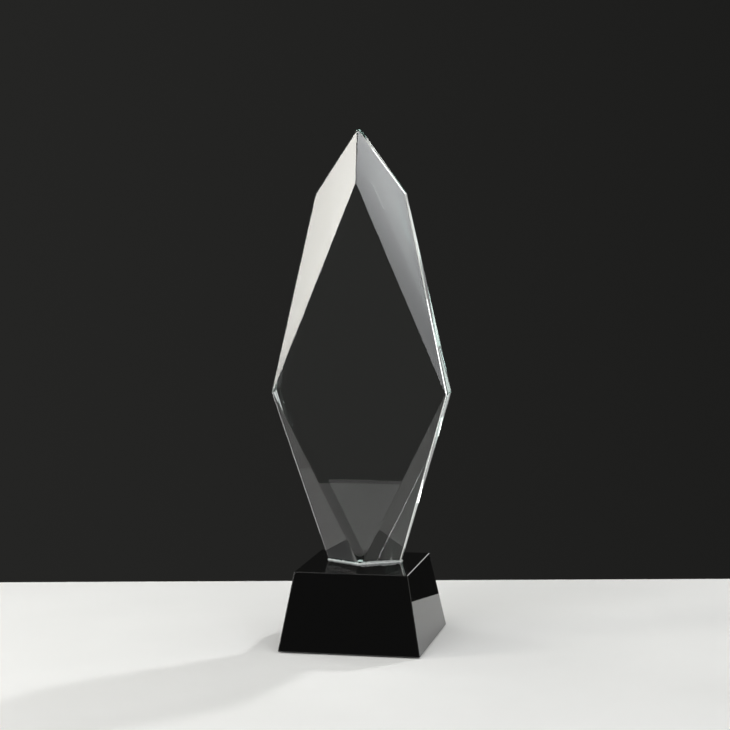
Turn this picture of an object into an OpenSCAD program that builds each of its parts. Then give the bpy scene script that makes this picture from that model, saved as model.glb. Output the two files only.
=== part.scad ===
// Faceted crystal award: a clear upright plate bonded on edge to a black mirror-polished base.
// Origin: centre of the underside, on the surface the award stands on.
// +Z is up, +X is to the right, and the engraving face looks towards -Y.

/* [Crystal plate] */
// Width between the two side corners, where the plate is widest
plate_w = 90.5; // [60:0.5:120]
// Width across the two shoulders
shoulder_w = 46.5; // [36:0.5:56]
// Width of the foot that stands on the base
foot_w = 37.5; // [26:0.5:46]
// Height from the foot up to the side corners
lower_h = 87.5; // [60:0.5:110]
// Height from the side corners up to the shoulders
upper_h = 100; // [70:0.5:130]
// Height from the shoulders up to the tip
tip_h = 32.5; // [22:0.5:44]
// Thickness of the plate, front to back
plate_t = 13.5; // [11:0.5:20]

/* [Facets] */
// Distance from the tip down to the top corner of the engraving face
face_drop = 27; // [18:0.5:36]
// Gap between the engraving face's side corners and the plate's side corners
face_inset = 0.75; // [0.6:0.05:3]
// Width of the engraving face where it reaches the foot
face_foot_w = 1; // [0.6:0.1:6]
// Slope of the two upper bevels away from the engraving face, in degrees
upper_bevel = 27.5; // [15:0.5:33]
// Slope of the two lower bevels away from the engraving face, in degrees
lower_bevel = 30; // [15:0.5:36]
// Leg of the small polished flat along each outer edge of the plate
edge_arris = 0.4; // [0.2:0.05:0.5]
// Leg of the finer polished flat between the front facets
facet_arris = 0.15; // [0.05:0.05:0.3]

/* [Base] */
// Width and depth of the base at the bottom
base_w = 72.5; // [58:0.5:100]
// Width and depth of the base at the top
base_top_w = 58; // [48:0.5:80]
// Height of the base block
base_h = 39.5; // [20:0.5:60]
// Leg of the polished flat along each edge of the base
base_arris = 0.3; // [0.2:0.1:1.5]

/* [Glue and pad] */
// Thickness of the clear glue film between the plate and the base
glue_t = 0.2; // [0.1:0.05:0.5]
// Thickness of the soft pad under the base
pad_t = 0.5; // [0.3:0.1:3]
// Thickness of the pad's self-adhesive film
tape_t = 0.1; // [0.05:0.05:0.3]
// Gap from the base's bottom edge to the pad's edge
pad_inset = 4; // [1:0.5:10]
// Radius of the pad's corners
pad_corner_r = 3; // [0.5:0.5:8]

/* [Hidden] */
$fn = 64;

// Levels, from the surface upwards
tape_z = pad_t;
base_z = tape_z + tape_t;
glue_z = base_z + base_h;
plate_z = glue_z + glue_t;

// Side of the cube that stands for everything beyond a cut
REACH = 1000;

// A face or a cut is a plane [outward normal, distance from the origin].

function unit(v) = v / norm(v);

// The plane through a point, square to a direction
function plane_at(direction, point) = [unit(direction), unit(direction) * point];

// The plane that takes the sharp edge off two faces, leaving a flat with the given leg on each
function arris(face_a, face_b, leg) =
    let (total = face_a[0] + face_b[0])
    let (half_turn = acos(norm(total) / 2))
    [unit(total), (face_a[1] + face_b[1]) / norm(total) - leg * sin(half_turn)];

// Everything on the far side of a plane
module beyond(plane) {
    normal = plane[0];
    translate(normal * plane[1])
        rotate([0, acos(normal.z), atan2(normal.y, normal.x)])
            translate([-REACH / 2, -REACH / 2, 0])
                cube(REACH);
}

// ---- Crystal plate, drawn in its own frame with the foot at z = 0 ----

plate_h = lower_h + upper_h + tip_h;

// The plate's outline as (x, z), from the right end of the foot round to its left end
OUTLINE = [
    [foot_w / 2, 0],
    [plate_w / 2, lower_h],
    [shoulder_w / 2, lower_h + upper_h],
    [0, plate_h],
    [-shoulder_w / 2, lower_h + upper_h],
    [-plate_w / 2, lower_h],
    [-foot_w / 2, 0],
];
SIDES = len(OUTLINE);

// The engraving face's corners as (x, z), going round the same way
face_side_x = plate_w / 2 - face_inset;
KITE = [
    [face_foot_w / 2, 0],
    [face_side_x, lower_h],
    [0, plate_h - face_drop],
    [-face_side_x, lower_h],
    [-face_foot_w / 2, 0],
];
BEVEL_SLOPES = [lower_bevel, upper_bevel, upper_bevel, lower_bevel];

// Direction that points out of the outline, square to the line from one corner to the next
function outward(from, to) = unit([to.y - from.y, from.x - to.x]);

// A side wall stands square to the engraving face
function wall(from, to) =
    let (out = outward(from, to))
    plane_at([out.x, 0, out.y], [from.x, 0, from.y]);

// A bevel leaves the engraving face along one edge of the kite and slopes back
function bevel(from, to, slope) =
    let (out = outward(from, to) * sin(slope))
    plane_at([out.x, -cos(slope), out.y], [from.x, -plate_t / 2, from.y]);

FRONT = plane_at([0, -1, 0], [0, -plate_t / 2, 0]);
BACK = plane_at([0, 1, 0], [0, plate_t / 2, 0]);
WALLS = [for (i = [0:SIDES - 1]) wall(OUTLINE[i], OUTLINE[(i + 1) % SIDES])];
BEVELS = [for (i = [0:3]) bevel(KITE[i], KITE[i + 1], BEVEL_SLOPES[i])];
FOOT = WALLS[SIDES - 1];

// The bevel that each side wall meets along its front edge
WALL_BEVELS = [BEVELS[0], BEVELS[1], BEVELS[1], BEVELS[2], BEVELS[2], BEVELS[3]];

// Pairs of faces that meet in an outer edge: back, corners, front, and the front of the foot
OUTER_EDGES = concat(
    [for (each_wall = WALLS) [each_wall, BACK]],
    [for (i = [0:SIDES - 1]) [WALLS[i], WALLS[(i + 1) % SIDES]]],
    [for (i = [0:SIDES - 2]) [WALLS[i], WALL_BEVELS[i]]],
    [[FOOT, BEVELS[0]], [FOOT, BEVELS[3]], [FOOT, FRONT]]
);

// Pairs of front facets that meet in an inner edge: round the kite, and from bevel to bevel
FACET_EDGES = concat(
    [for (each_bevel = BEVELS) [each_bevel, FRONT]],
    [for (i = [0:2]) [BEVELS[i], BEVELS[i + 1]]]
);

module crystal_plate() {
    color([0.82, 0.92, 0.89, 0.45])
    translate([0, 0, plate_z])
    difference() {
        rotate([90, 0, 0])
            linear_extrude(height = plate_t, center = true)
                polygon(OUTLINE);
        for (each_bevel = BEVELS)
            beyond(each_bevel);
        for (edge = OUTER_EDGES)
            beyond(arris(edge[0], edge[1], edge_arris));
        for (edge = FACET_EDGES)
            beyond(arris(edge[0], edge[1], facet_arris));
    }
}

// ---- Glue film, under the flat part of the plate's foot ----

// How far a lower bevel has sloped back where it reaches the end of the foot
lower_edge_out = outward(KITE[0], KITE[1]);
foot_bevel_depth = tan(lower_bevel) * ((foot_w - face_foot_w) / 2) * lower_edge_out.x;
foot_side_y = -plate_t / 2 + foot_bevel_depth;

// The foot's footprint as (x, y), before its edges are taken off
FOOTPRINT = [
    [-face_foot_w / 2, -plate_t / 2],
    [face_foot_w / 2, -plate_t / 2],
    [foot_w / 2, foot_side_y],
    [foot_w / 2, plate_t / 2],
    [-foot_w / 2, plate_t / 2],
    [-foot_w / 2, foot_side_y],
];

module glue_film() {
    color([0.9, 0.93, 0.9, 0.6])
    translate([0, 0, glue_z])
    linear_extrude(height = glue_t)
        polygon(FOOTPRINT);
}

// ---- Base: a square block with four sloping sides ----

side_slope = atan((base_w - base_top_w) / 2 / base_h);
BASE_TOP = plane_at([0, 0, 1], [0, 0, glue_z]);
BASE_BOTTOM = plane_at([0, 0, -1], [0, 0, base_z]);
BASE_SIDES = [
    for (turn = [0:90:270])
        let (out = [cos(turn), sin(turn), 0])
        plane_at(out * cos(side_slope) + [0, 0, sin(side_slope)], out * base_w / 2 + [0, 0, base_z])
];
BASE_EDGES = concat(
    [for (side = BASE_SIDES) [side, BASE_TOP]],
    [for (side = BASE_SIDES) [side, BASE_BOTTOM]],
    [for (i = [0:3]) [BASE_SIDES[i], BASE_SIDES[(i + 1) % 4]]]
);

module base_block() {
    color([0.04, 0.04, 0.045])
    difference() {
        translate([-base_w / 2, -base_w / 2, base_z])
            cube([base_w, base_w, base_h]);
        for (side = BASE_SIDES)
            beyond(side);
        for (edge = BASE_EDGES)
            beyond(arris(edge[0], edge[1], base_arris));
    }
}

// ---- Pad and its tape: thin sheets of one outline, set back from the base's edge ----

module pad_sheet(thickness) {
    pad_w = base_w - 2 * pad_inset;
    corner = pad_w / 2 - pad_corner_r;
    linear_extrude(height = thickness)
        union() {
            square([pad_w, 2 * corner], center = true);
            square([2 * corner, pad_w], center = true);
            for (x = [-corner, corner], y = [-corner, corner])
                translate([x, y])
                    circle(r = pad_corner_r);
        }
}

module pad_tape() {
    color([0.75, 0.75, 0.7])
    translate([0, 0, tape_z])
    pad_sheet(tape_t);
}

module base_pad() {
    color([0.1, 0.1, 0.11])
    pad_sheet(pad_t);
}

crystal_plate();
glue_film();
base_block();
pad_tape();
base_pad();
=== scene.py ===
"""Faceted crystal award: the finish of every piece, the desk it stands on, the studio light and the camera.

Everything is in metres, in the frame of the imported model: +Z is up, +X is to the right, the engraving
face looks towards -Y, and the origin is the centre of the underside.
"""

import math

import bpy
from mathutils import Matrix, Vector, noise
from mathutils.bvhtree import BVHTree


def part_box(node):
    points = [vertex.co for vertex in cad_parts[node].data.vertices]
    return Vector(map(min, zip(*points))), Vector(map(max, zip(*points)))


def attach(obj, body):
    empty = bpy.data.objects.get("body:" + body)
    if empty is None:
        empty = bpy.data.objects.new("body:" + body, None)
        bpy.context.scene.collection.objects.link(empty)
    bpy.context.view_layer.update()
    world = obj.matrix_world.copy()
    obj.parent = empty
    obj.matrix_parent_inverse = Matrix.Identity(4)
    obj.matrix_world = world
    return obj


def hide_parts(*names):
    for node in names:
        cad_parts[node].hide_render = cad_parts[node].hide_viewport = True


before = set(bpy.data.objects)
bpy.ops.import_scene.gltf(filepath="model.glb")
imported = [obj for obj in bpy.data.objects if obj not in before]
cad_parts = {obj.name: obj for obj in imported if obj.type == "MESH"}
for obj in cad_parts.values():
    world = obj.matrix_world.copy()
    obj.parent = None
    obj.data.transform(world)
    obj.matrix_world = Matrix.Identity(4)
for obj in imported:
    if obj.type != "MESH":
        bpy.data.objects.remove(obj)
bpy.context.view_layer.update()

MM = 0.001

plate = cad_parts["crystal_plate"]
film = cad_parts["glue_film"]
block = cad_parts["base_block"]
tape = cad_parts["pad_tape"]
plate_low, plate_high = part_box("crystal_plate")
film_low, film_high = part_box("glue_film")
pad_low, pad_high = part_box("base_pad")


# ---- Camera ----

CAMERA_PLACE = Vector((0.2253, -0.9978, 0.2484))
CAMERA_TURN = math.radians(12.605)
CAMERA_TILT = math.radians(-5.970)
CAMERA_ROLL = math.radians(-0.674)
CAMERA_LENS_MM = 100.17
CAMERA_SENSOR_MM = 36.0


def make_camera():
    """The camera stands a metre in front and a little to the right, and looks slightly down."""
    lens = bpy.data.cameras.new("camera")
    lens.sensor_width = CAMERA_SENSOR_MM
    lens.lens = CAMERA_LENS_MM
    lens.clip_start = 0.01
    lens.clip_end = 20.0
    camera = bpy.data.objects.new("camera", lens)
    level = math.radians(90)
    aim = Matrix.Rotation(CAMERA_TURN, 4, "Z") @ Matrix.Rotation(level + CAMERA_TILT, 4, "X")
    camera.matrix_world = Matrix.Translation(CAMERA_PLACE) @ aim @ Matrix.Rotation(CAMERA_ROLL, 4, "Z")
    bpy.context.scene.collection.objects.link(camera)
    bpy.context.scene.camera = camera


# ---- Placing shader nodes ----


class Nodes:
    """One node tree, with short calls that place nodes and fill in their inputs."""

    def __init__(self, tree):
        self.tree = tree

    def place(self, kind, values=None, **settings):
        node = self.tree.nodes.new(kind)
        for name, value in settings.items():
            setattr(node, name, value)
        for name, value in (values or {}).items():
            if isinstance(value, bpy.types.NodeSocket):
                self.tree.links.new(value, node.inputs[name])
            else:
                node.inputs[name].default_value = value
        return node

    def math(self, operation, first, second=0.0):
        return self.place("ShaderNodeMath", {0: first, 1: second}, operation=operation).outputs[0]

    def vector_math(self, operation, first, second=(0, 0, 0)):
        return self.place("ShaderNodeVectorMath", {0: first, 1: second}, operation=operation)

    def remap(self, value, low, high, to_low=0.0, to_high=1.0, shape="SMOOTHSTEP"):
        """The value's place between low and high, eased or straight, as a value from to_low to to_high."""
        values = {"Value": value, "From Min": low, "From Max": high, "To Min": to_low, "To Max": to_high}
        return self.place("ShaderNodeMapRange", values, interpolation_type=shape).outputs["Result"]

    def noise(self, place, scale, detail=2.0, roughness=0.5, distortion=0.0):
        values = {"Vector": place, "Scale": scale, "Detail": detail, "Roughness": roughness}
        values["Distortion"] = distortion
        return self.place("ShaderNodeTexNoise", values).outputs["Fac"]

    def blend_colours(self, share, first, second):
        node = self.place("ShaderNodeMix", {0: share, 6: first, 7: second}, data_type="RGBA")
        return node.outputs[2]

    def blend_values(self, share, first, second):
        return self.place("ShaderNodeMix", {0: share, 2: first, 3: second}, data_type="FLOAT").outputs[0]

    def where(self):
        """The point on the piece, in metres."""
        return self.place("ShaderNodeTexCoord").outputs["Object"]

    def rounded(self, reach):
        """The direction that the surface faces, with its edges softened over this reach."""
        return self.place("ShaderNodeBevel", {"Radius": reach}, samples=8).outputs["Normal"]

    def bump(self, height, distance, normal=None):
        values = {"Height": height, "Distance": distance}
        if normal:
            values["Normal"] = normal
        return self.place("ShaderNodeBump", values).outputs["Normal"]

    def group(self, tree, values):
        return self.place("ShaderNodeGroup", values, node_tree=tree)


def new_group(name, inputs, outputs):
    """A shader node group with named inputs, each with a starting value, and named outputs."""
    tree = bpy.data.node_groups.new(name, "ShaderNodeTree")
    for title, start in inputs.items():
        socket = tree.interface.new_socket(title, in_out="INPUT", socket_type="NodeSocketFloat")
        socket.default_value = start
    for title in outputs:
        tree.interface.new_socket(title, in_out="OUTPUT", socket_type="NodeSocketFloat")
    nodes = Nodes(tree)
    given = nodes.place("NodeGroupInput").outputs
    made = nodes.place("NodeGroupOutput").inputs
    return nodes, given, made


# ---- Effects that several finishes share ----


def make_haze_group():
    """Wiped and less wiped patches on a polished face, as a roughness that drifts between two values."""
    nodes, given, made = new_group("haze", {"Patch Size": 0.02, "Clean": 0.0, "Hazy": 0.05}, ["Roughness"])
    scale = nodes.math("DIVIDE", 1.0, given["Patch Size"])
    patches = nodes.noise(nodes.where(), scale, detail=4.0, roughness=0.6, distortion=0.8)
    share = nodes.remap(patches, 0.42, 0.72)
    nodes.tree.links.new(nodes.blend_values(share, given["Clean"], given["Hazy"]), made["Roughness"])
    return nodes.tree


def make_dust_group():
    """Scattered dust specks, most of them on what faces up."""
    starts = {"Spacing": 0.003, "Speck Size": 0.08, "Share": 0.3, "Side Share": 0.25}
    nodes, given, made = new_group("dust", starts, ["Mask"])
    scale = nodes.math("DIVIDE", 1.0, given["Spacing"])
    cells = nodes.place("ShaderNodeTexVoronoi", {"Vector": nodes.where(), "Scale": scale})
    speck = nodes.math("LESS_THAN", cells.outputs["Distance"], given["Speck Size"])
    lot = nodes.place("ShaderNodeSeparateColor", {"Color": cells.outputs["Color"]})
    kept = nodes.math("LESS_THAN", lot.outputs["Red"], given["Share"])
    facing = nodes.place("ShaderNodeSeparateXYZ", {0: nodes.place("ShaderNodeNewGeometry").outputs["Normal"]})
    upward = nodes.remap(facing.outputs["Z"], 0.3, 0.9)
    settled = nodes.blend_values(upward, given["Side Share"], 1.0)
    mask = nodes.math("MULTIPLY", nodes.math("MULTIPLY", speck, kept), settled)
    nodes.tree.links.new(mask, made["Mask"])
    return nodes.tree


def make_edge_group():
    """A mask along the edges of a piece, as far in as Reach, broken up a little along its length."""
    nodes, given, made = new_group("edge", {"Reach": 0.0004, "Break Up": 0.3}, ["Mask"])
    rounded = nodes.place("ShaderNodeBevel", {"Radius": given["Reach"]}, samples=6).outputs["Normal"]
    flat = nodes.place("ShaderNodeNewGeometry").outputs["Normal"]
    likeness = nodes.vector_math("DOT_PRODUCT", rounded, flat).outputs["Value"]
    near = nodes.remap(likeness, 0.995, 0.93)
    uneven = nodes.remap(nodes.noise(nodes.where(), 900.0, detail=3.0), 0.35, 0.6)
    kept = nodes.blend_values(given["Break Up"], 1.0, uneven)
    nodes.tree.links.new(nodes.math("MULTIPLY", near, kept), made["Mask"])
    return nodes.tree


def make_hairline_group():
    """A mask of fine hairlines from polishing and wiping, lying two ways."""
    nodes, given, made = new_group("hairlines", {"Length": 0.012, "Width": 0.00006}, ["Mask"])
    masks = []
    for turn in (23, 112):
        turned = nodes.place(
            "ShaderNodeVectorRotate",
            {"Vector": nodes.where(), "Angle": math.radians(turn), "Axis": (0.25, 1.0, 0.2)},
        ).outputs["Vector"]
        along = nodes.math("DIVIDE", 1.0, given["Length"])
        across = nodes.math("DIVIDE", 1.0, given["Width"])
        stretch = nodes.place("ShaderNodeCombineXYZ", {"X": along, "Y": along, "Z": across}).outputs[0]
        streaks = nodes.noise(nodes.vector_math("MULTIPLY", turned, stretch).outputs[0], 1.0, detail=1.0)
        masks.append(nodes.remap(streaks, 0.68, 0.76))
    nodes.tree.links.new(nodes.math("MAXIMUM", *masks), made["Mask"])
    return nodes.tree


haze_group = make_haze_group()
dust_group = make_dust_group()
edge_group = make_edge_group()
hairline_group = make_hairline_group()


# ---- Finishes ----


def new_finish(name):
    """A material with an empty node tree but for its output. Gives the material, its nodes and the output."""
    finish = bpy.data.materials.new(name)
    finish.use_nodes = True
    finish.node_tree.nodes.clear()
    nodes = Nodes(finish.node_tree)
    output = nodes.place("ShaderNodeOutputMaterial")
    return finish, nodes, output


def crystal_finish():
    """Clear optical crystal: polished, a trace of green in a long path, edges a little less polished."""
    finish, nodes, output = new_finish("clear_crystal")
    haze = nodes.group(haze_group, {"Patch Size": 0.03, "Clean": 0.0, "Hazy": 0.01}).outputs[0]
    edge = nodes.group(edge_group, {"Reach": 0.00015, "Break Up": 0.25}).outputs[0]
    dust = nodes.group(
        dust_group, {"Spacing": 0.004, "Speck Size": 0.035, "Share": 0.25, "Side Share": 0.5}
    ).outputs[0]
    edge_roughness, dust_roughness = 0.08, 0.5
    roughness = nodes.blend_values(edge, haze, edge_roughness)
    roughness = nodes.blend_values(dust, roughness, dust_roughness)
    ripple = nodes.noise(nodes.where(), 55.0, detail=1.0)
    glass = nodes.place(
        "ShaderNodeBsdfPrincipled",
        {
            "Base Color": (1.0, 1.0, 1.0, 1.0),
            "Roughness": roughness,
            "IOR": 1.52,
            "Transmission Weight": 1.0,
            "Normal": nodes.bump(ripple, 0.000008, nodes.rounded(0.00018)),
        },
    )
    tint = nodes.place("ShaderNodeVolumeAbsorption", {"Color": (0.3, 1.0, 0.85, 1.0), "Density": 2.2})
    nodes.tree.links.new(glass.outputs["BSDF"], output.inputs["Surface"])
    nodes.tree.links.new(tint.outputs["Volume"], output.inputs["Volume"])
    return finish


def base_finish():
    """Opaque black crystal: a mirror polish, a few dust specks and hairlines, faintly rubbed edges."""
    finish, nodes, output = new_finish("black_crystal")
    haze = nodes.group(haze_group, {"Patch Size": 0.018, "Clean": 0.0, "Hazy": 0.015}).outputs[0]
    dust = nodes.group(
        dust_group, {"Spacing": 0.0035, "Speck Size": 0.045, "Share": 0.2, "Side Share": 0.15}
    ).outputs[0]
    edge = nodes.group(edge_group, {"Reach": 0.0002, "Break Up": 0.5}).outputs[0]
    hairlines = nodes.group(hairline_group, {"Length": 0.014, "Width": 0.00009}).outputs[0]
    black, grey_speck = (0.0008, 0.0008, 0.0009, 1.0), (0.10, 0.10, 0.095, 1.0)
    colour = nodes.blend_colours(dust, black, grey_speck)
    edge_roughness, hairline_roughness, dust_roughness = 0.04, 0.14, 0.8
    roughness = nodes.blend_values(edge, haze, edge_roughness)
    roughness = nodes.blend_values(nodes.math("MULTIPLY", hairlines, 0.6), roughness, hairline_roughness)
    roughness = nodes.blend_values(dust, roughness, dust_roughness)
    polish = nodes.place(
        "ShaderNodeBsdfPrincipled",
        {
            "Base Color": colour,
            "Roughness": roughness,
            "IOR": 1.68,
            "Normal": nodes.bump(hairlines, 0.0000004, nodes.rounded(0.0001)),
        },
    )
    nodes.tree.links.new(polish.outputs["BSDF"], output.inputs["Surface"])
    return finish


def glue_finish():
    """Cured glue, pale and partly clear, with a lumpy skin and fine bubbles."""
    finish, nodes, output = new_finish("clear_glue")
    place = nodes.where()
    bubbles = nodes.place("ShaderNodeTexVoronoi", {"Vector": place, "Scale": 2600.0}).outputs["Distance"]
    lumps = nodes.noise(place, 1500.0, detail=3.0)
    cloud = nodes.remap(lumps, 0.35, 0.7)
    haze = nodes.group(haze_group, {"Patch Size": 0.002, "Clean": 0.08, "Hazy": 0.3}).outputs[0]
    greyish, whitish = (0.66, 0.70, 0.70, 1.0), (0.95, 0.96, 0.95, 1.0)
    colour = nodes.blend_colours(cloud, greyish, whitish)
    skin = nodes.place(
        "ShaderNodeBsdfPrincipled",
        {
            "Base Color": colour,
            "Roughness": haze,
            "IOR": 1.47,
            "Transmission Weight": 0.3,
            "Normal": nodes.bump(nodes.math("ADD", lumps, bubbles), 0.00012),
        },
    )
    nodes.tree.links.new(skin.outputs["BSDF"], output.inputs["Surface"])
    return finish


def tape_finish():
    """The pad's adhesive film: a dull, slightly yellow sheet with soft creases."""
    finish, nodes, output = new_finish("tape_film")
    place = nodes.where()
    cloud = nodes.remap(nodes.noise(place, 160.0, detail=4.0), 0.3, 0.7)
    creases = nodes.noise(place, 600.0, detail=2.0, distortion=1.5)
    dust = nodes.group(
        dust_group, {"Spacing": 0.0015, "Speck Size": 0.1, "Share": 0.35, "Side Share": 1.0}
    ).outputs[0]
    yellowish, paler, dark_speck = (0.55, 0.53, 0.45, 1.0), (0.66, 0.64, 0.56, 1.0), (0.12, 0.12, 0.12, 1.0)
    colour = nodes.blend_colours(cloud, yellowish, paler)
    colour = nodes.blend_colours(dust, colour, dark_speck)
    sheet = nodes.place(
        "ShaderNodeBsdfPrincipled",
        {
            "Base Color": colour,
            "Roughness": nodes.remap(creases, 0.3, 0.7, 0.5, 0.7),
            "Normal": nodes.bump(creases, 0.00002),
        },
    )
    nodes.tree.links.new(sheet.outputs["BSDF"], output.inputs["Surface"])
    return finish


def felt_finish():
    """Dark pressed felt: matted fibres that lie every way, with a soft sheen."""
    finish, nodes, output = new_finish("dark_felt")
    place = nodes.where()
    matted = nodes.noise(place, 1400.0, detail=6.0, roughness=0.75, distortion=2.5)
    clumps = nodes.noise(place, 260.0, detail=3.0)
    fibres = nodes.group(hairline_group, {"Length": 0.0016, "Width": 0.00004}).outputs[0]
    deep, mid, loose_fibre = (0.006, 0.006, 0.007, 1.0), (0.026, 0.026, 0.030, 1.0), (0.07, 0.07, 0.08, 1.0)
    dark = nodes.blend_colours(nodes.remap(matted, 0.3, 0.7), deep, mid)
    colour = nodes.blend_colours(nodes.math("MULTIPLY", fibres, 0.5), dark, loose_fibre)
    height = nodes.math("ADD", nodes.math("ADD", matted, clumps), nodes.math("MULTIPLY", fibres, 0.5))
    cloth = nodes.place(
        "ShaderNodeBsdfPrincipled",
        {
            "Base Color": colour,
            "Roughness": nodes.remap(matted, 0.3, 0.7, 0.85, 1.0),
            "Specular IOR Level": 0.2,
            "Sheen Weight": 0.35,
            "Sheen Roughness": 0.6,
            "Normal": nodes.bump(height, 0.00015),
        },
    )
    nodes.tree.links.new(cloth.outputs["BSDF"], output.inputs["Surface"])
    return finish


def desk_finish():
    """The pale desk: smooth white lacquer with a very fine grain."""
    finish, nodes, output = new_finish("pale_desk")
    place = nodes.where()
    cloud = nodes.remap(nodes.noise(place, 9.0, detail=3.0), 0.3, 0.7)
    white, whiter = (0.80, 0.80, 0.79, 1.0), (0.83, 0.83, 0.82, 1.0)
    colour = nodes.blend_colours(cloud, white, whiter)
    grain = nodes.noise(place, 2200.0, detail=2.0)
    lacquer = nodes.place(
        "ShaderNodeBsdfPrincipled",
        {
            "Base Color": colour,
            "Roughness": 0.5,
            "Specular IOR Level": 0.4,
            "Normal": nodes.bump(grain, 0.00001),
        },
    )
    nodes.tree.links.new(lacquer.outputs["BSDF"], output.inputs["Surface"])
    return finish


def dress(piece, finish):
    """Gives a piece this one finish."""
    piece.data.materials.clear()
    piece.data.materials.append(finish)


# ---- Meshes ----


def lofted_piece(name, rings):
    """A closed smooth mesh through rings of equally many points, with a centre point at each end."""
    count = len(rings[0])
    points = [point for ring in rings for point in ring]
    faces = []
    for ring in range(len(rings) - 1):
        first, second = ring * count, (ring + 1) * count
        for i in range(count):
            j = (i + 1) % count
            faces.append((first + i, first + j, second + j, second + i))
    for ring, turned in ((0, True), (len(rings) - 1, False)):
        centre = len(points)
        points.append(sum(rings[ring], Vector()) / count)
        for i in range(count):
            pair = (ring * count + i, ring * count + (i + 1) % count)
            faces.append((centre, pair[1], pair[0]) if turned else (centre, pair[0], pair[1]))
    mesh = bpy.data.meshes.new(name)
    mesh.from_pydata(points, [], faces)
    mesh.update()
    for face in mesh.polygons:
        face.use_smooth = True
    piece = bpy.data.objects.new(name, mesh)
    bpy.context.scene.collection.objects.link(piece)
    return piece


def outline_of(node):
    """The corners of a flat-sided CAD node seen from above, going round its centre anticlockwise."""
    corners = {(round(v.co.x, 6), round(v.co.y, 6)) for v in node.data.vertices}
    centre = sum((Vector(c) for c in corners), Vector((0, 0))) / len(corners)
    turn = {c: math.atan2(c[1] - centre.y, c[0] - centre.x) for c in corners}
    return [Vector(c) for c in sorted(corners, key=turn.get)]


def stations_round(outline, step):
    """Points spaced along a closed outline, each with its outward direction, turning over at the corners."""
    turning = 3 * step
    found = []
    for i, start in enumerate(outline):
        side = outline[(i + 1) % len(outline)] - start
        before = start - outline[i - 1]
        after = outline[(i + 2) % len(outline)] - start - side
        outward = [Vector((d.y, -d.x)).normalized() for d in (before, side, after)]
        count = max(2, round(side.length / step))
        for k in range(count):
            along = (k + 0.5) * side.length / count
            near_start = max(0.0, 0.5 - along / turning)
            near_end = max(0.0, 0.5 - (side.length - along) / turning)
            own = 1 - near_start - near_end
            turned = outward[0] * near_start + outward[1] * own + outward[2] * near_end
            found.append((start + side * (along / side.length), turned.normalized()))
    return found


# ---- Glue: the film under the foot, risen into an uneven bead round it ----

BEAD_STEP = 0.3 * MM
BEAD_RISE = (0.25 * MM, 1.10 * MM)
BEAD_TOE = (0.25 * MM, 1.00 * MM)
BEAD_GAP = 0.01 * MM
BEAD_TUCK = 0.4 * MM
BEAD_CURVE = 1.5
BEAD_CURVE_STEPS = 6
SWELL_LENGTH = 1.3 * MM
SWELL_DEPTH = 0.9
RAGGED_PER_SWELL = 3.1
RAGGED_PLACE = Vector((7, 3, 1))
RAGGED_DEPTH = 0.8
FILL_LEFT = 0.25
FILL_RIGHT = 0.70
FILL_CHANGE = 4 * MM
FOOT_EDGE = 0.45 * MM
FILM_RINGS = (0.6, 0.3)


def make_glue():
    walls = BVHTree.FromPolygons(
        [v.co for v in plate.data.vertices], [list(p.vertices) for p in plate.data.polygons]
    )
    floor_z = film_low.z + BEAD_GAP
    foot_z = film_high.z

    def wall_at(point, outward, rise):
        """How far out the plate's side is from the foot's outline, at this height above the foot."""
        reach = 5 * MM
        start = Vector((*(point + outward * reach), foot_z + rise))
        hit, _, _, distance = walls.ray_cast(start, Vector((*-outward, 0)))
        return reach - distance if hit else 0.0

    def section(point, outward):
        """The glue's section at one station, from under the foot out to the toe, up the bead and back in."""
        amount = glue_amount(point)
        rise = BEAD_RISE[0] + (BEAD_RISE[1] - BEAD_RISE[0]) * amount
        toe = BEAD_TOE[0] + (BEAD_TOE[1] - BEAD_TOE[0]) * amount
        pairs = [(-BEAD_TUCK, floor_z), (0.5 * toe, floor_z), (toe, floor_z)]
        for k in range(1, BEAD_CURVE_STEPS + 1):
            share = k / BEAD_CURVE_STEPS
            up = rise * share**BEAD_CURVE
            skin = 0.95 * toe * (1 - share) ** BEAD_CURVE
            pairs.append((wall_at(point, outward, max(up, FOOT_EDGE)) + BEAD_GAP + skin, foot_z + up))
        inner_rise = 0.7 * rise
        for up in (inner_rise, FOOT_EDGE):
            pairs.append((wall_at(point, outward, up) + BEAD_GAP, foot_z + min(up, inner_rise)))
        pairs.append((-BEAD_TUCK, foot_z - BEAD_GAP))
        return [Vector((*(point + outward * out), z)) for out, z in pairs]

    sections = [section(*station) for station in stations_round(outline_of(film), BEAD_STEP)]
    rings = [list(ring) for ring in zip(*sections)]
    lowest, highest = rings[0], rings[-1]
    centre = (film_low + film_high) / 2
    for share in FILM_RINGS:
        rings.insert(0, shrunk_ring(lowest, centre, share))
        rings.append(shrunk_ring(highest, centre, share))
    glue = lofted_piece("glue_bead", rings)
    dress(glue, glue_finish())
    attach(glue, "root")
    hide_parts("glue_film")


def glue_amount(point):
    """How much glue has come out at this point of the foot, from 0 to 1: uneven, and more on the right."""
    spot = Vector((*point, 0)) / SWELL_LENGTH
    swell = 0.5 * noise.noise(spot)
    ragged = 0.5 * noise.noise(spot * RAGGED_PER_SWELL + RAGGED_PLACE)
    right = min(1.0, max(0.0, 0.5 + point.x / FILL_CHANGE))
    fill = FILL_LEFT + (FILL_RIGHT - FILL_LEFT) * right
    return min(1.0, max(0.0, fill + SWELL_DEPTH * swell + RAGGED_DEPTH * ragged))


def shrunk_ring(ring, centre, share):
    """The ring's points moved level towards a centre line, to this share of their distance."""
    return [
        Vector((centre.x + (p.x - centre.x) * share, centre.y + (p.y - centre.y) * share, p.z)) for p in ring
    ]


# ---- Felt pad: a die-cut square of felt with a slightly fuzzy cut edge ----

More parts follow.
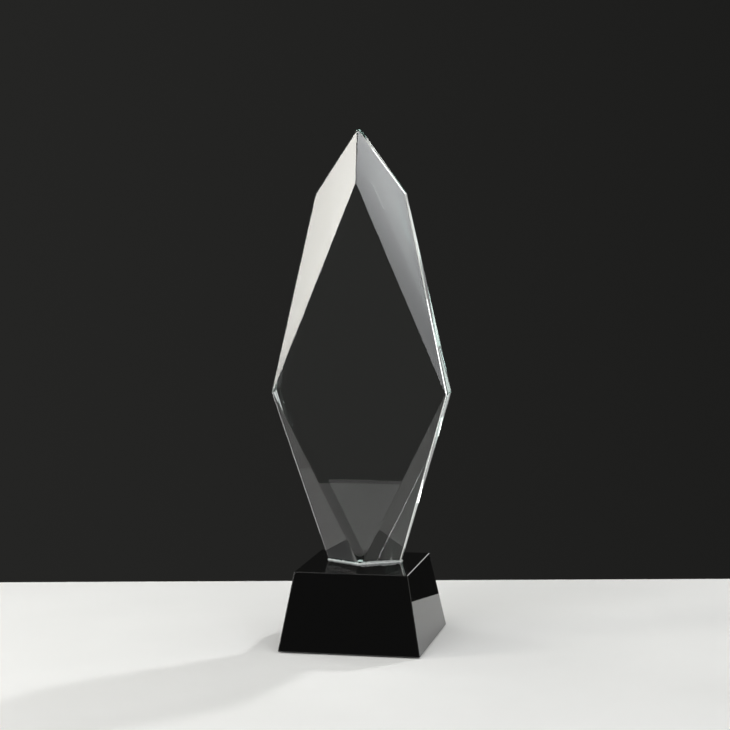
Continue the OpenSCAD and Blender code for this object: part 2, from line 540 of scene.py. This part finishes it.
PAD_CORNER = 3 * MM
PAD_CORNER_STEPS = 12
PAD_SIDE_STEPS = 56
PAD_EDGE_STEPS = 4
PAD_FACE_RINGS = (0.15, 0.35, 0.55, 0.72, 0.85, 0.94)
PAD_EDGE_ROUND = 0.06 * MM
PAD_FUZZ = 0.12 * MM
PAD_FUZZ_LENGTH = 0.5 * MM


def on_circle(angle, radius):
    return Vector((math.cos(angle), math.sin(angle))) * radius


def pad_outline(corner):
    """The pad's outline seen from above, round its centre: four rounded corners and the sides between."""
    quarter_turn = math.radians(90)
    points = []
    for quarter in range(4):
        turn, next_turn = quarter_turn * quarter, quarter_turn * (quarter + 1)
        middle = Vector((corner, corner)) @ Matrix.Rotation(-turn, 2)
        next_middle = Vector((corner, corner)) @ Matrix.Rotation(-next_turn, 2)
        for k in range(PAD_CORNER_STEPS):
            angle = turn + quarter_turn * (k + 0.5) / PAD_CORNER_STEPS
            points.append(middle + on_circle(angle, PAD_CORNER))
        start = points[-1]
        end = next_middle + on_circle(next_turn, PAD_CORNER)
        for k in range(1, PAD_SIDE_STEPS):
            points.append(start.lerp(end, k / PAD_SIDE_STEPS))
    return points


def make_pad():
    size = pad_high - pad_low
    centre = (pad_low + pad_high) / 2
    outline = pad_outline(size.x / 2 - PAD_CORNER)

    def ring(share, inset, z, fuzz):
        found = []
        for p in outline:
            out = p * share - p.normalized() * inset
            ruffle = noise.noise(Vector((p.x, p.y, z)) / PAD_FUZZ_LENGTH) * fuzz
            out -= p.normalized() * abs(ruffle)
            found.append(Vector((centre.x + out.x, centre.y + out.y, z)))
        return found

    rings = [ring(share, 0, pad_low.z, 0) for share in PAD_FACE_RINGS]
    for k in range(PAD_EDGE_STEPS + 1):
        angle = math.radians(-90 + 180 * k / PAD_EDGE_STEPS)
        inset = PAD_EDGE_ROUND * (1 - math.cos(angle))
        rings.append(ring(1, inset, centre.z + size.z / 2 * math.sin(angle), PAD_FUZZ))
    rings += [ring(share, 0, pad_high.z, 0) for share in reversed(PAD_FACE_RINGS)]
    pad = lofted_piece("felt_pad", rings)
    dress(pad, felt_finish())
    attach(pad, "root")
    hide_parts("base_pad")


# ---- Desk ----

DESK_BACK = 0.1473
DESK_BACK_TURN = math.radians(10.7)
DESK_FRONT = -0.495
DESK_SIDE = 1.6
DESK_DEEP = 0.028
DESK_ROUND = 0.002


def make_desk():
    """A desk top whose front edge lies along X and whose back edge is turned a little."""
    run = DESK_SIDE * math.tan(DESK_BACK_TURN)
    corners = [
        (-DESK_SIDE, DESK_FRONT),
        (DESK_SIDE, DESK_FRONT),
        (DESK_SIDE, DESK_BACK + run),
        (-DESK_SIDE, DESK_BACK - run),
    ]
    points = [(x, y, z) for z in (-DESK_DEEP, 0) for x, y in corners]
    underside, top = (3, 2, 1, 0), (4, 5, 6, 7)
    sides = [(i, (i + 1) % 4, 4 + (i + 1) % 4, 4 + i) for i in range(4)]
    mesh = bpy.data.meshes.new("desk")
    mesh.from_pydata(points, [], [underside, top, *sides])
    desk = bpy.data.objects.new("desk", mesh)
    bpy.context.scene.collection.objects.link(desk)
    edge = desk.modifiers.new("rounded edge", "BEVEL")
    edge.width = DESK_ROUND
    edge.segments = 4
    dress(desk, desk_finish())


# ---- Studio light ----

WHITE = (1.0, 1.0, 1.0)
WARM = (1.0, 0.984, 0.924)
COOL = (0.96, 0.98, 1.0)
FOLD_LINE = (0.951, 0.308, 0.0)
FOLD_SCALE = 22.0


def softbox(name, aim, towards, distance, size, strength, colour=WHITE, fades=(), folds=0.0):
    """A soft light: a bright cloth of the given width and height, facing the point that it aims at.

    towards is the direction from that point to the light. Each fade is (turn, start, end, least): along
    the line turned that many degrees from the cloth's own width, the light rises from the least share to
    the whole. folds is how deep the soft folds in the cloth show.
    """
    half_w, half_h = size[0] / 2, size[1] / 2
    mesh = bpy.data.meshes.new(name)
    corners = [(-half_w, -half_h, 0), (half_w, -half_h, 0), (half_w, half_h, 0), (-half_w, half_h, 0)]
    mesh.from_pydata(corners, [], [(0, 1, 2, 3)])
    cloth = bpy.data.objects.new(name, mesh)
    out = Vector(towards).normalized()
    cloth.matrix_world = Matrix.Translation(Vector(aim) + out * distance) @ facing(out)
    cloth.visible_camera = False
    glow, nodes, output = new_finish(name)
    place = nodes.where()
    across = nodes.vector_math("DOT_PRODUCT", place, FOLD_LINE).outputs["Value"]
    fold = nodes.noise(nodes.place("ShaderNodeCombineXYZ", {"X": across}).outputs[0], FOLD_SCALE, detail=2.0)
    level = nodes.remap(fold, 0.3, 0.7, strength * (1.0 - folds), strength * (1.0 + folds))
    for turn, start, end, least in fades:
        line = (math.cos(math.radians(turn)), math.sin(math.radians(turn)), 0.0)
        along = nodes.vector_math("DOT_PRODUCT", place, line).outputs["Value"]
        level = nodes.math("MULTIPLY", level, nodes.remap(along, start, end, least, 1.0))
    light = nodes.place("ShaderNodeEmission", {"Color": (*colour, 1.0), "Strength": level})
    nodes.tree.links.new(light.outputs[0], output.inputs["Surface"])
    dress(cloth, glow)
    bpy.context.scene.collection.objects.link(cloth)


def facing(out):
    """The turn that points a flat sheet's back along out and keeps its upright side up."""
    return out.to_track_quat("Z", "Y").to_matrix().to_4x4()


def from_the_back(turn, rise):
    """The direction turned this many degrees from straight back towards the right, and raised this many."""
    turn, rise = math.radians(turn), math.radians(rise)
    return (math.sin(turn) * math.cos(rise), math.cos(turn) * math.cos(rise), math.sin(rise))


def above_foot(x, share):
    """The point this far across, at this share of the plate's height above its foot."""
    return Vector((x, 0, plate_low.z + share * (plate_high.z - plate_low.z)))


# Each fade of a light's cloth is (turn, start, end, least)
LEFT_FADES = ((0, -0.002, 0.038, 0.84), (90, -0.134, -0.014, 0.72))
RIGHT_FADES = ((22, 0.068, 0.114, 0.50), (90, -0.114, 0.146, 0.68))
LOW_FADES = ((-90, -0.1775, 0.1725, 0.043), (90, -0.27, -0.07, 0.6))
HIGH_FADES = ((90, -0.2, 0.2, 0.4),)


def light_the_front():
    """Soft boxes in front and overhead. The upper bevels mirror the left and the right box."""
    upper = above_foot(0, 0.65)
    softbox(
        "left_box", upper, (-0.900, -0.352, 0.255), 0.5, size=(0.09, 0.20), strength=16.5,
        colour=WARM, fades=LEFT_FADES,
    )
    softbox(
        "left_foot", upper, (-0.926, -0.376, 0.064), 0.5, size=(0.012, 0.024), strength=10.5,
        colour=WARM,
    )
    softbox(
        "right_box", upper, (0.582, -0.762, 0.282), 1.3, size=(0.34, 0.36), strength=9.2,
        colour=COOL, fades=RIGHT_FADES, folds=0.05,
    )
    softbox("top_box", upper, (0.45, -0.2, 0.87), 1.5, size=(1.0, 1.0), strength=1.9)
    softbox("fill_box", upper, (-0.3, -0.62, 0.72), 1.4, size=(0.7, 0.7), strength=4.6)


def light_the_back():
    """A strong box that throws the shadow, and dim panels that show through the lower facets."""
    upper = above_foot(0, 0.65)
    side_corner = above_foot(plate_high.x, 0.3)
    softbox("back_box", upper, from_the_back(31.4, 39), 1.6, size=(0.12, 0.12), strength=200.0)
    softbox(
        "low_panel", side_corner, from_the_back(3.5, -9.3), 2.0, size=(0.255, 0.585), strength=0.8,
        fades=LOW_FADES,
    )
    softbox(
        "high_panel", side_corner, from_the_back(11.5, 3.0), 2.0, size=(0.2, 0.40), strength=0.9,
        fades=HIGH_FADES,
    )
    softbox("edge_panel", side_corner, from_the_back(9.3, 11.0), 2.0, size=(0.16, 0.2), strength=1.8)


def light_the_side_walls():
    """Panels that show as bright lines in the plate's side walls and along its outer edges."""
    upper = above_foot(0, 0.65)
    right_wall = above_foot(plate_high.x, 0.3)
    left_wall = above_foot(0.7 * plate_low.x, 0.2)
    softbox("side_panel", upper, from_the_back(-69, 10), 1.0, size=(0.28, 0.4), strength=6.0)
    softbox("outer_panel", left_wall, from_the_back(-41, -17), 1.0, size=(0.24, 0.3), strength=2.4)
    softbox("front_strip", right_wall, (-0.59, -0.80, 0.05), 1.0, size=(0.14, 0.25), strength=16.0)


# ---- The room round the desk, as light that comes from each direction ----

# A direction has three parts: across to the right, forward to the back of the desk, and up
BEHIND_LEFT, BEHIND_RIGHT = 0.0185, 0.0125
PATCH_BEHIND = 0.034
FRONT_LOW, FRONT_HIGH = 0.09, 0.055
LEFT_WALL = 0.72
RIGHT_WALL = 0.5
ROOM_COLOUR = (1.0, 1.0, 0.95, 1.0)


def make_room():
    """The room is dark behind and dim in front, with pale walls to the left and the right."""
    world = bpy.data.worlds.new("room")
    world.use_nodes = True
    nodes = Nodes(world.node_tree)
    towards = nodes.place("ShaderNodeTexCoord").outputs["Generated"]
    level_towards = nodes.vector_math("MULTIPLY", towards, (1, 1, 0)).outputs["Vector"]
    turned = nodes.vector_math("NORMALIZE", level_towards).outputs["Vector"]
    turn = nodes.place("ShaderNodeSeparateXYZ", {0: turned})
    across, forward = turn.outputs["X"], turn.outputs["Y"]
    up = nodes.place("ShaderNodeSeparateXYZ", {0: towards}).outputs["Z"]
    behind = nodes.remap(across, -0.39, -0.04, BEHIND_LEFT, BEHIND_RIGHT, "LINEAR")
    patch = nodes.math("MULTIPLY", nodes.remap(across, -0.4, -0.45), nodes.remap(up, 0.2, 0.05))
    behind = nodes.blend_values(patch, behind, PATCH_BEHIND)
    front = nodes.remap(up, -0.05, 0.1, FRONT_LOW, FRONT_HIGH)
    level = nodes.blend_values(nodes.remap(forward, 0.1, -0.5), behind, front)
    left = nodes.math("MULTIPLY", nodes.remap(across, -0.5, -0.75), nodes.remap(up, 0.2, 0.4, 1.0, 0.5))
    level = nodes.blend_values(left, level, LEFT_WALL)
    right = nodes.math("MULTIPLY", nodes.remap(across, 0.5, 0.7), nodes.remap(up, -0.15, 0.05))
    level = nodes.blend_values(right, level, RIGHT_WALL)
    backdrop = world.node_tree.nodes["Background"]
    backdrop.inputs["Color"].default_value = ROOM_COLOUR
    world.node_tree.links.new(level, backdrop.inputs["Strength"])
    bpy.context.scene.world = world


def set_exposure():
    """Plain tones, and enough bounces for light that crosses many facets."""
    scene = bpy.context.scene
    scene.view_settings.view_transform = "Standard"
    scene.cycles.max_bounces = 24
    scene.cycles.transmission_bounces = 24
    scene.cycles.glossy_bounces = 12


make_camera()
make_glue()
make_pad()
dress(plate, crystal_finish())
dress(block, base_finish())
dress(tape, tape_finish())
make_desk()
make_room()
light_the_front()
light_the_back()
light_the_side_walls()
set_exposure()
